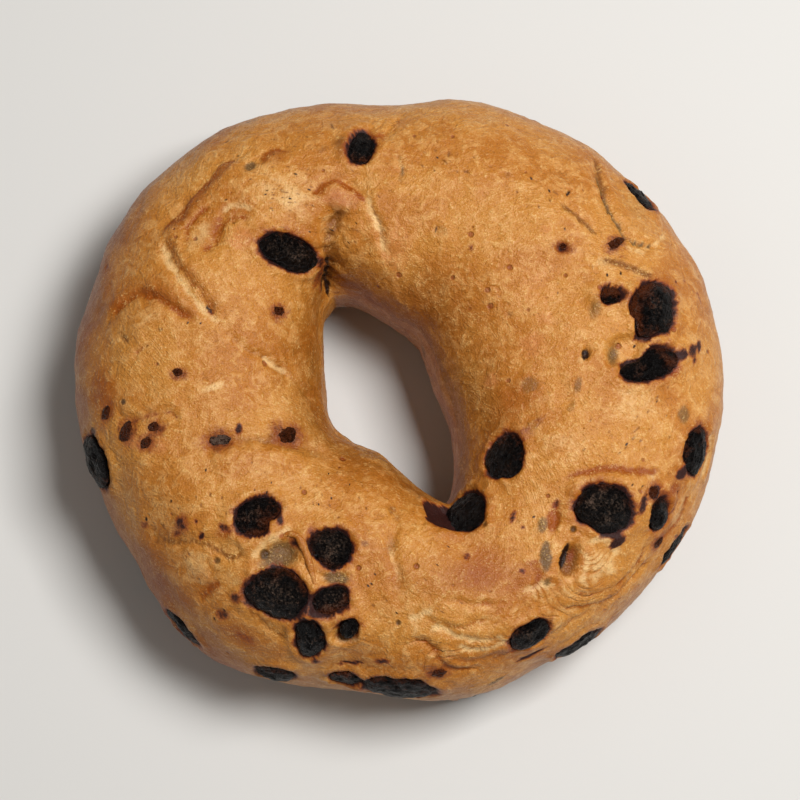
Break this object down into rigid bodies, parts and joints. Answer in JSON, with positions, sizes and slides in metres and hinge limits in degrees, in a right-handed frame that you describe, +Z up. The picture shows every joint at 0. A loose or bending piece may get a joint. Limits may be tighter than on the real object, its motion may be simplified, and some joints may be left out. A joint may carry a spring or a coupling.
{
  "type": "bagel",
  "caption": "Baked bread ring with a folded golden-brown crust, a slanted hole and dark dried fruit pressed into its surface.",
  "frame": {"origin": "middle of the bagel's box, on the surface that its flat base lies on", "axes": "+Z up from the base, +X along the ring's longest width, +Y away from the picture's viewer"},
  "size_m": [0.1096, 0.103, 0.037],
  "materials": {
    "crust": "baked golden-brown crust with a soft satin sheen, ochre and tan patches and paler folds",
    "fruit": "near-black wrinkled dried fruit, slightly glossy, reddish brown at the edges"
  },
  "bodies": {
    "root": {"bread": "crust", "berry_01": "fruit", "berry_02": "fruit", "berry_03": "fruit", "berry_04": "fruit", "berry_05": "fruit", "berry_06": "fruit", "berry_07": "fruit", "berry_08": "fruit", "berry_09": "fruit", "berry_10": "fruit", "berry_11": "fruit", "berry_12": "fruit", "berry_13": "fruit", "berry_14": "fruit", "berry_15": "fruit", "berry_16": "fruit", "berry_17": "fruit", "berry_18": "fruit", "berry_19": "fruit", "berry_20": "fruit", "berry_21": "fruit", "berry_22": "fruit", "berry_23": "fruit", "berry_24": "fruit", "berry_25": "fruit", "berry_26": "fruit", "berry_27": "fruit", "berry_28": "fruit", "berry_29": "fruit", "berry_30": "fruit", "berry_31": "fruit", "berry_32": "fruit", "berry_33": "fruit", "berry_34": "fruit", "berry_35": "fruit", "berry_36": "fruit", "berry_37": "fruit"}
  },
  "joints": []
}
